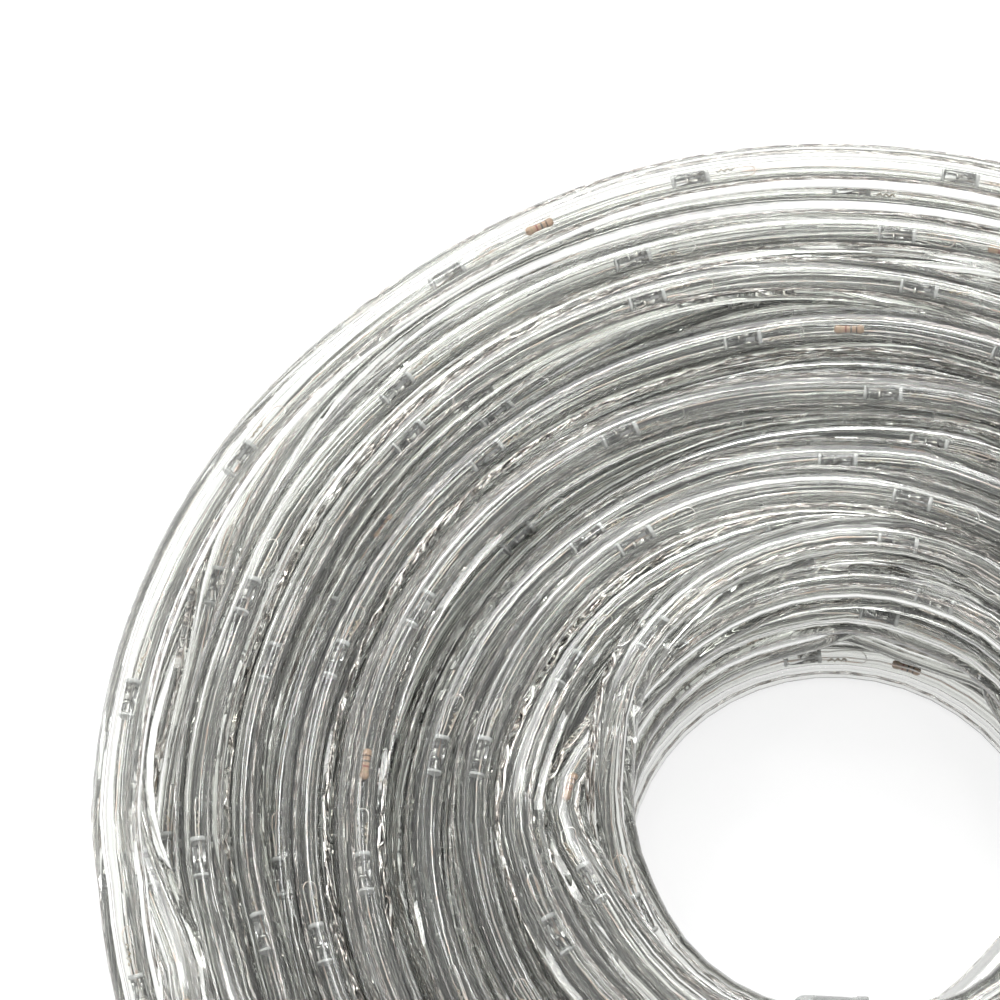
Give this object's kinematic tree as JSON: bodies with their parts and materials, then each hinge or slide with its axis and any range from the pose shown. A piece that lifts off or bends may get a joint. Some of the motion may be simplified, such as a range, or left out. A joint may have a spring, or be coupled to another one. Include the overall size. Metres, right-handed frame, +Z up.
{
  "type": "coil of clear led rope light",
  "caption": "Loosely hand-wound coil of clear round LED rope light, lying flat, open bore, both rope ends capped.",
  "frame": {"origin": "on the coil's axis, on the plane that the lowest turns lie on", "axes": "+Z up along the coil's axis; the picture looks down from -Y at about 70 degrees; both free ends lie towards +X and -Y"},
  "size_m": [0.4, 0.4, 0.0841],
  "materials": {
    "clear_pvc": "clear extruded PVC, glossy",
    "cap_pvc": "translucent moulded PVC",
    "led_epoxy": "water-clear epoxy",
    "tinned_copper": "tinned copper wire",
    "resistor_body": "tan lacquer with colour bands"
  },
  "bodies": {
    "root": {"rope_coil": "clear_pvc", "outer_tail": "clear_pvc", "inner_tail": "clear_pvc", "outer_end_cap": "cap_pvc", "inner_end_cap": "cap_pvc", "outer_led": "led_epoxy", "inner_led": "led_epoxy", "outer_lead_loop": "tinned_copper", "inner_lead_loop": "tinned_copper", "outer_resistor": "resistor_body", "outer_series_wire_1": "tinned_copper", "outer_series_wire_2": "tinned_copper", "inner_series_wire": "tinned_copper", "outer_bus_wire_1": "tinned_copper", "outer_bus_wire_2": "tinned_copper", "inner_bus_wire_1": "tinned_copper", "inner_bus_wire_2": "tinned_copper"}
  },
  "joints": []
}
